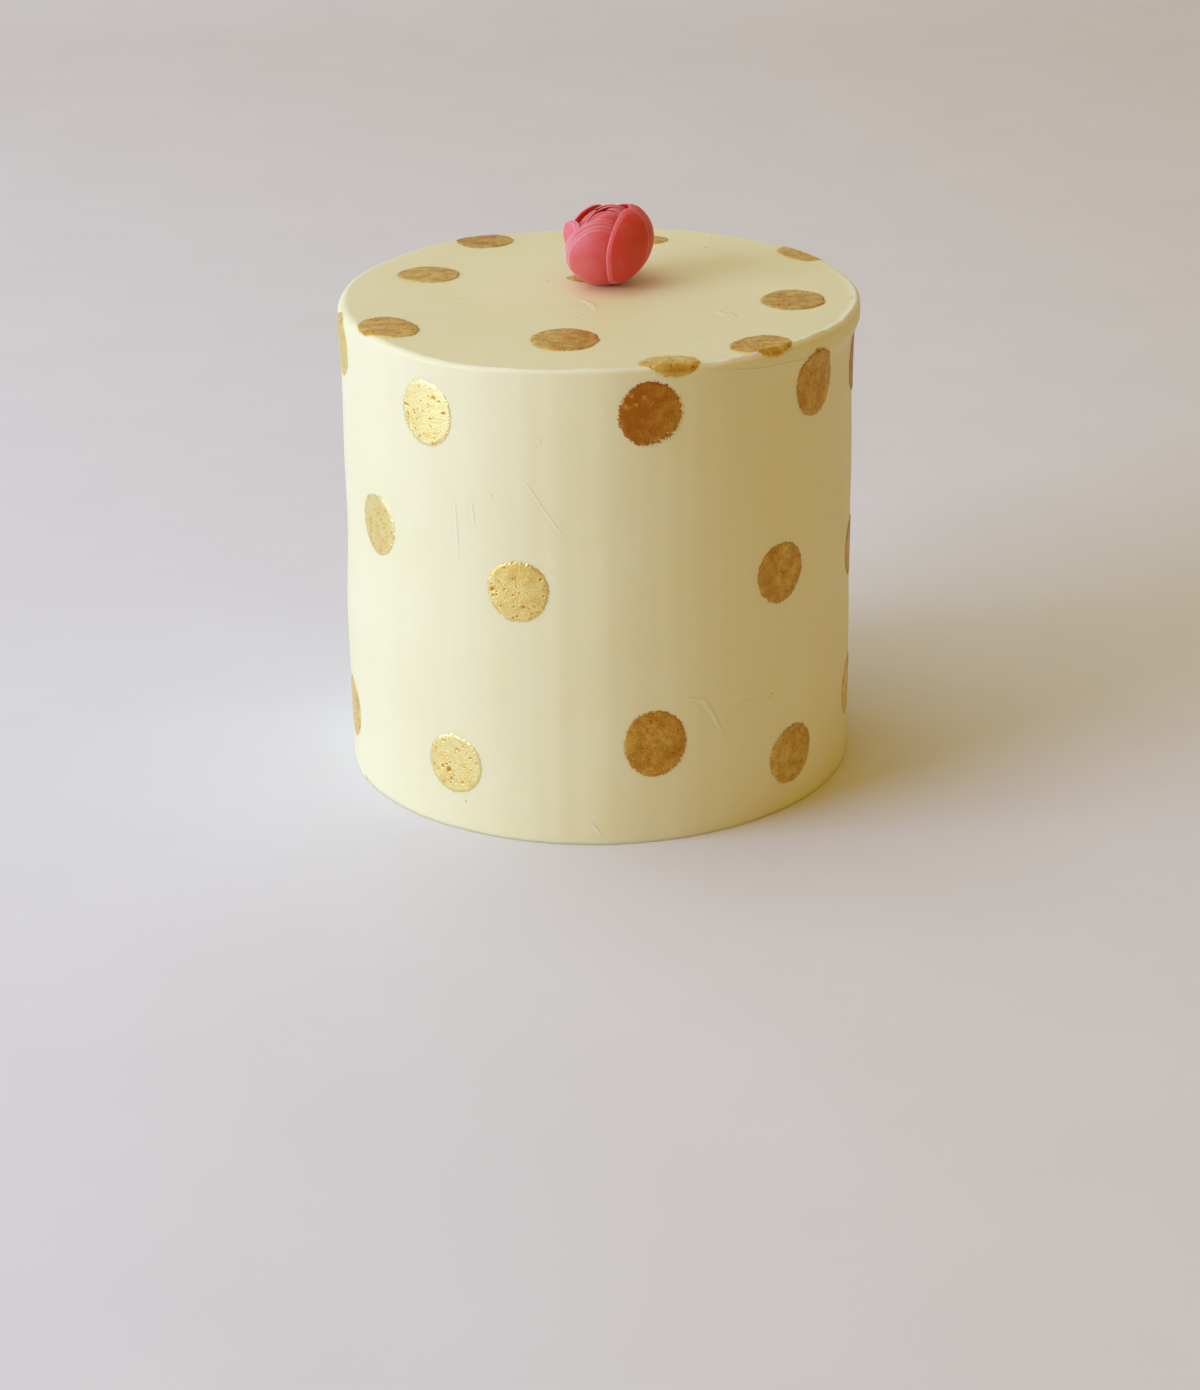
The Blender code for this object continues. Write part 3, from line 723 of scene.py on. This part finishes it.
fleck_turns = np.arange(FLECK_SIDES) * 2.0 * np.pi / FLECK_SIDES
fleck_places = []
for angle, level, radius in SIDE_FLECKS:
    fleck_places.append((over_icing(angle, path_at_height(level, angle)), radius))
for x, y, radius in TOP_FLECKS:
    fleck_places.append((on_top(x, y), radius))
points = np.empty((0, 3))
faces = []
for place, radius in fleck_places:
    reach = radius * draws.uniform(1.0 - FLECK_RAGGED, 1.0 + FLECK_RAGGED, FLECK_SIDES)
    ring_x = reach * np.cos(fleck_turns)
    ring_y = reach * np.sin(fleck_turns)
    first = len(points)
    foot = skin(*place(ring_x, ring_y), -DOT_BURIED)
    shoulder = place(FLECK_SHOULDER_REACH * ring_x, FLECK_SHOULDER_REACH * ring_y)
    shoulder = skin(*shoulder, FLECK_SHOULDER * radius)
    peak = skin(*place(np.zeros(1), np.zeros(1)), FLECK_HEIGHT * radius)
    points = np.concatenate((points, foot, shoulder, peak))
    faces += ring_faces(2, FLECK_SIDES, first)
    faces += fan_faces(first + 2 * FLECK_SIDES, first + FLECK_SIDES, FLECK_SIDES, False)
    faces.append(list(range(first, first + FLECK_SIDES)))
flecks = add_piece("gold_flecks", points, faces, sponged_gold, "gold")
set_attribute(flecks, "lustre_tone", [FLECK_TONE] * len(points))

# The sugar rosebud
# Rounds of coloured sugar paste, pressed thin and laid over each other in layers round a ball of the same
# paste, each with a thick bevelled edge. The paste is translucent and finely grained. Its left side, toward
# the window, is painted paler as painted light for the rosebud's lit side.
ROSE_X = 4.1
ROSE_Y = 15.2
BALL_MIDDLE = 13.8
BALL_GIRTH = 16.1
BALL_HEIGHT = 14.1
BALL_LOWER_STRETCH = 1.11
LAYER_GIRTH_STEP = 1.2
LAYER_HEIGHT_STEP = 0.74
FLARE_WIDTH = 0.7
FLARE_START = -0.5
FLARE_SIDE = -0.35
ROSE_LEAN = 0.11
PETAL_THICKNESS = 0.95
PETAL_EDGE = 0.45
# The share of a petal's radius at which its bevel starts, and how round the bevel is
PETAL_BEVEL = 0.86
PETAL_BEVEL_POWER = 1.3
PETAL_ROUND = 0.018
PETAL_SIDES = 120
FACE_RINGS = 14
BEVEL_RINGS = 13
BEVEL_MARGIN = 0.04
EDGE_RINGS = 6
PETAL_WAVE = 0.02
PETAL_LOBES = (2, 3, 5, 7)

# Petals: azimuth, elevation, half width and half height in degrees as seen from the ball's middle, narrowing
# toward the foot, turn of the tip to the right in degrees, layer inward from the outermost, and how far the
# left edge stands out and the tip turns out, in mm
PETALS = {
    "petal_front_right": (-62, 3, 29, 58, 0.08, 13, 0, 0.0, 0.0),
    "petal_front_left": (-104, -14, 45, 52, -0.3, 2, 1, 1.1, 0.0),
    "petal_front_under": (-109, -4, 53, 54, -0.15, 4, 2, 1.2, 0.0),
    "petal_right": (-12, 6, 38, 60, 0.0, 10, 1, 0.0, 0.0),
    "petal_left": (-174, -3, 29, 41, -0.1, 4, 2.6, 0.5, 3.3),
    "petal_back_left": (122, -2, 31, 52, 0.15, 0, 1, 0.0, 0.0),
    "petal_back_right": (60, -4, 35, 48, 0.15, 0, 0, 0.0, 0.0),
    "petal_back": (92, 2, 43, 54, 0.15, 0, 2, 0.0, 0.0),
    "petal_inner_right": (-10, 8, 34, 54, 0.15, 6, 2.2, 0.0, 0.0),
    "petal_inner_back": (80, 8, 44, 53, 0.15, 0, 3, 0.0, 0.0),
    "petal_inner_left": (160, 8, 42, 54, 0.15, 0, 4, 0.0, 0.0),
    "petal_inner_front": (-90, 15, 44, 54, 0.15, 4, 3.3, 0.0, 0.0),
    "petal_heart_left": (-118, 24, 50, 60, 0.15, 0, 5, 0.0, 0.0),
    "petal_heart_right": (40, 18, 54, 66, 0.15, 0, 4.7, 0.0, 0.0),
}

# How pale a petal is over its bevel, in the line where the bevel starts and on its rim, and where each lies
# and how wide it is, in shares of the petal's radius
# The pale line where the bevel starts is a painted highlight along its ridge; the pale band and rim are
# partly the thin paste's own paler edge and partly painted highlight
PALE_BAND = 0.2
PALE_BAND_START = 0.81
PALE_BAND_WIDTH = 0.08
PALE_LINE = 0.5
PALE_LINE_WIDTH = 0.025
PALE_RIM = 0.7
PALE_RIM_START = 0.95
# The paste at its deepest red, in pink and at its palest. Toward the window at the left the paste is painted
# paler as painted light for the rosebud's lit side: the paling grows over the start and full x values below,
# in mm, up to the most.
PASTE_RED = (0.79, 0.055, 0.036, 1.0)
PASTE_PINK = (0.81, 0.13, 0.125, 1.0)
PASTE_PALE = (0.85, 0.36, 0.38, 1.0)
LIT_SIDE_START = 6.0
LIT_SIDE_FULL = -13.0
LIT_SIDE_MOST = 0.62
CLOUD_SIZE = 4.5
PASTE_GRAIN_SIZE = 0.45
nodes = Nodes(
    "sugar_paste", Subsurface_Weight=0.6, Subsurface_Scale=0.004, Subsurface_Radius=(1.0, 0.12, 0.1),
    Specular_IOR_Level=0.5, Sheen_Weight=0.12, Sheen_Roughness=0.45, Sheen_Tint=(1.0, 0.62, 0.60, 1.0),
)
edge = nodes.add("Attribute", attribute_name="near_edge").outputs["Fac"]
clouds = nodes.noise(CLOUD_SIZE, 3.0)
paste_grain = nodes.noise(PASTE_GRAIN_SIZE, 2.0)
across = nodes.add("SeparateXYZ", {"Vector": nodes.place}).outputs["X"]
# Painted light: the paste grows paler toward the window at the left, for the rosebud's lit side
lit_side_paling = nodes.between(across, LIT_SIDE_START * MM, LIT_SIDE_FULL * MM, 0.0, LIT_SIDE_MOST)
lit_side_paling = nodes.math("MULTIPLY", lit_side_paling, nodes.between(paste_grain, 0.3, 0.7, 0.75, 1.25))
pale = nodes.math("ADD", nodes.math("MULTIPLY", edge, 0.6), nodes.between(clouds, 0.35, 0.65, -0.06, 0.1))
pale = nodes.math("ADD", pale, lit_side_paling)
colour = nodes.ramp(pale, (0.0, PASTE_RED), (1.0, PASTE_PALE), (0.4, PASTE_PINK))
nodes.relief((clouds, 0.25), (paste_grain, 0.06))
sugar_paste = nodes.finish(Base_Color=colour, Roughness=nodes.between(paste_grain, 0.35, 0.65, 0.45, 0.62))


def petal_point(shape, side, up, inward):
    """Points of a petal in mm. Side and up run over a disc of radius 1, and inward is a depth in mm."""
    azimuth, elevation, half_width, half_height, narrowing, twist, layer, left_out, flare = shape
    turn = np.radians(azimuth + twist * np.maximum(up, 0.0) ** 2)
    lean = np.radians(side * half_width * (1.0 - narrowing * smooth_step(-up)))
    climb = np.radians(elevation + up * half_height)
    out = np.cos(lean) * np.cos(climb)
    climbed = np.cos(lean) * np.sin(climb)
    rolled = smooth_step((up - FLARE_START) / (1.0 - FLARE_START))
    tip = flare * rolled * np.exp(-(((side - FLARE_SIDE) / FLARE_WIDTH) ** 2))
    edge_out = left_out * np.minimum(side, 0.0) ** 2
    girth = BALL_GIRTH - layer * LAYER_GIRTH_STEP + edge_out + tip - inward
    height = BALL_HEIGHT - layer * LAYER_HEIGHT_STEP - inward
    height = np.where(climbed < 0.0, height * BALL_LOWER_STRETCH, height)
    x = ROSE_X + (out * np.cos(turn) - np.sin(lean) * np.sin(turn)) * girth + ROSE_LEAN * climbed * height
    y = ROSE_Y + (out * np.sin(turn) + np.sin(lean) * np.cos(turn)) * girth
    z = np.maximum(BALL_MIDDLE + climbed * height, 0.1)
    return np.stack((x, y, CAKE_HEIGHT + z), axis=-1)


def make_petal(name, shape):
    """One round of paste: a face, a bevel, a rounded edge and a back, joined into one solid."""
    turns = np.arange(PETAL_SIDES) * 2.0 * np.pi / PETAL_SIDES
    wave = np.ones(PETAL_SIDES)
    for lobes in PETAL_LOBES:
        wave = wave + PETAL_WAVE / lobes * np.sin(lobes * turns + draws.uniform(0.0, 2.0 * np.pi))
    face = np.linspace(0.0, PETAL_BEVEL - BEVEL_MARGIN, FACE_RINGS)[1:]
    bevel = np.linspace(PETAL_BEVEL - BEVEL_MARGIN, 1.0, BEVEL_RINGS)[1:]
    front = np.concatenate((face, bevel))
    bevel_depth = PETAL_THICKNESS - PETAL_EDGE
    along_bevel = np.clip((front - PETAL_BEVEL) / (1.0 - PETAL_BEVEL), 0.0, 1.0)
    front_depth = bevel_depth * along_bevel ** PETAL_BEVEL_POWER
    edge_turn = np.linspace(0.0, np.pi, EDGE_RINGS)[1:-1]
    edge_reach = 1.0 + PETAL_ROUND * np.sin(edge_turn)
    edge_depth = bevel_depth + PETAL_EDGE / 2.0 * (1.0 - np.cos(edge_turn))
    reach = np.concatenate((front, edge_reach, front[::-1]))
    depth = np.concatenate((front_depth, edge_depth, np.full(len(front), PETAL_THICKNESS)))
    side = reach[:, None] * (np.cos(turns) * wave)[None, :]
    up = reach[:, None] * (np.sin(turns) * wave)[None, :]
    points = petal_point(shape, side, up, depth[:, None] * np.ones_like(side))
    rows = len(reach)
    count = rows * PETAL_SIDES
    middles = petal_point(shape, np.zeros(2), np.zeros(2), np.array((0.0, PETAL_THICKNESS)))
    points = np.concatenate((points.reshape(-1, 3), middles))
    faces = ring_faces(rows, PETAL_SIDES)
    faces += fan_faces(count, 0, PETAL_SIDES, True)
    faces += fan_faces(count + 1, count - PETAL_SIDES, PETAL_SIDES, False)
    # Painted highlight along the bevel's ridge and rim, partly also the paste's own paler edge
    near = PALE_BAND * smooth_step((reach - PALE_BAND_START) / PALE_BAND_WIDTH)
    near += PALE_LINE * np.exp(-(((reach - PETAL_BEVEL) / PALE_LINE_WIDTH) ** 2))
    near += PALE_RIM * smooth_step((reach - PALE_RIM_START) / (1.0 - PALE_RIM_START))
    piece = add_piece("rose_" + name, points, faces, sugar_paste, "rose", name)
    set_attribute(piece, "near_edge", np.concatenate((np.repeat(near, PETAL_SIDES), (0.0, 0.0))))


for name, shape in PETALS.items():
    make_petal(name, shape)

# The heart of the rosebud
# A ball of the same paste under the petals, set down on the icing, which shows only between the petals'
# tips and round the foot.
# Profile: radius and height above the icing in mm
HEART_PROFILE = (
    (0.05, 0.1), (5.2, 0.1), (6.4, 0.7), (7.6, 2.5), (8.2, 6.0), (8.0, 11.0), (7.3, 15.0),
    (6.6, 18.5), (4.9, 21.4), (2.5, 23.0), (0.05, 23.5),
)
HEART_SIDES = 64
HEART_ROWS = 40

profile = np.array(HEART_PROFILE)
along = np.concatenate(([0.0], np.cumsum(np.hypot(*np.diff(profile, axis=0).T))))
steps = np.linspace(0.0, along[-1], HEART_ROWS)
radii = np.interp(steps, along, profile[:, 0])
levels = np.interp(steps, along, profile[:, 1])
turns = np.arange(HEART_SIDES) * 2.0 * np.pi / HEART_SIDES
heart_points = np.stack((
    ROSE_X + radii[:, None] * np.cos(turns)[None, :] + ROSE_LEAN * (levels[:, None] - BALL_MIDDLE),
    ROSE_Y + radii[:, None] * np.sin(turns)[None, :],
    CAKE_HEIGHT + levels[:, None] * np.ones(HEART_SIDES)[None, :],
), axis=-1).reshape(-1, 3)
faces = [face[::-1] for face in ring_faces(HEART_ROWS, HEART_SIDES)]
faces.append(list(range(HEART_SIDES))[::-1])
faces.append(list(range((HEART_ROWS - 1) * HEART_SIDES, HEART_ROWS * HEART_SIDES)))
heart = add_piece("rose_heart_paste", heart_points, faces, sugar_paste, "rose", "rose_heart")
set_attribute(heart, "near_edge", np.zeros(len(heart_points)))

# The room: a pale floor that curves up into a plain wall
# Neither is part of the cake. Both are one sheet of pale lilac grey studio paper, a little cloudy.
FLOOR_SIZE = 4.0
WALL_Y = 1.6
WALL_HEIGHT = 2.4
WALL_BEND = 0.5
BACKDROP_ROWS = 24
ROOM_COLOUR = (0.82, 0.81, 0.85, 1.0)
ROOM_PALER = (0.84, 0.83, 0.87, 1.0)
PAPER_CLOUD_SIZE = 60.0

nodes = Nodes("studio_paper", Roughness=0.9, Specular_IOR_Level=0.1)
paper_clouds = nodes.noise(PAPER_CLOUD_SIZE, 2.0)
studio_paper = nodes.finish(
    Base_Color=nodes.ramp(paper_clouds, (0.3, ROOM_COLOUR), (0.7, ROOM_PALER)),
)
profile = [(-FLOOR_SIZE, 0.0), (WALL_Y - WALL_BEND, 0.0)]
for step in range(1, BACKDROP_ROWS):
    turn = 0.5 * math.pi * step / BACKDROP_ROWS
    profile.append((WALL_Y - WALL_BEND + WALL_BEND * math.sin(turn), WALL_BEND - WALL_BEND * math.cos(turn)))
profile += [(WALL_Y, WALL_BEND), (WALL_Y, WALL_HEIGHT)]
places = [(x, y, z) for y, z in profile for x in (-FLOOR_SIZE, FLOOR_SIZE)]
quads = [(2 * row, 2 * row + 1, 2 * row + 3, 2 * row + 2) for row in range(len(profile) - 1)]
data = bpy.data.meshes.new("backdrop")
data.from_pydata(places, [], quads)
data.shade_smooth()
data.materials.append(studio_paper)
backdrop = bpy.data.objects.new("backdrop", data)
bpy.context.scene.collection.objects.link(backdrop)
backdrop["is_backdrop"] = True

# The light
# Soft daylight from a window at the left and a little in front, the same light off the ceiling, and the
# warm dim light of the room all round. Colours and strengths are those that give the cake's colours.
SHADE_COLOUR = (1.0, 0.64, 0.05, 1.0)
SHADE_STRENGTH = 0.416


def add_light(name, place, target, size, power, colour):
    """A square area light that faces a target."""
    data = bpy.data.lights.new(name, "AREA")
    data.size = size
    data.energy = power
    data.color = colour
    light = bpy.data.objects.new(name, data)
    light.location = place
    light.rotation_euler = (Vector(target) - Vector(place)).to_track_quat("-Z", "Y").to_euler()
    bpy.context.scene.collection.objects.link(light)


add_light("window", (-1.653, -0.736, 0.65), (0.0, 0.0, 0.1), 1.2, 36.0, (0.475, 0.617, 1.0))
add_light("ceiling", (-0.6, 0.2, 1.6), (0.0, 0.0, 0.1), 1.6, 12.0, (0.58, 0.79, 1.0))
world = bpy.data.worlds.new("room_air")
world.use_nodes = True
world.node_tree.nodes["Background"].inputs["Color"].default_value = SHADE_COLOUR
world.node_tree.nodes["Background"].inputs["Strength"].default_value = SHADE_STRENGTH
bpy.context.scene.world = world
bpy.context.scene.view_settings.view_transform = "Standard"

# The camera
# Where the photograph was taken from: in front, above the top of the cake and looking down at it.
CAMERA_PLACE = (0.00088, -1.07935, 0.47261)
CAMERA_PITCH = 0.3996
CAMERA_YAW = -0.0012
CAMERA_ROLL = -0.0134
CAMERA_LENS = 89.91
SENSOR_HEIGHT = 36.0

data = bpy.data.cameras.new("camera")
data.lens = CAMERA_LENS
data.sensor_fit = "VERTICAL"
data.sensor_height = SENSOR_HEIGHT
camera = bpy.data.objects.new("camera", data)
turn = Matrix.Rotation(-CAMERA_YAW, 4, "Z") @ Matrix.Rotation(math.pi / 2.0 - CAMERA_PITCH, 4, "X")
camera.matrix_world = Matrix.Translation(CAMERA_PLACE) @ turn @ Matrix.Rotation(CAMERA_ROLL, 4, "Z")
bpy.context.scene.collection.objects.link(camera)
bpy.context.scene.camera = camera
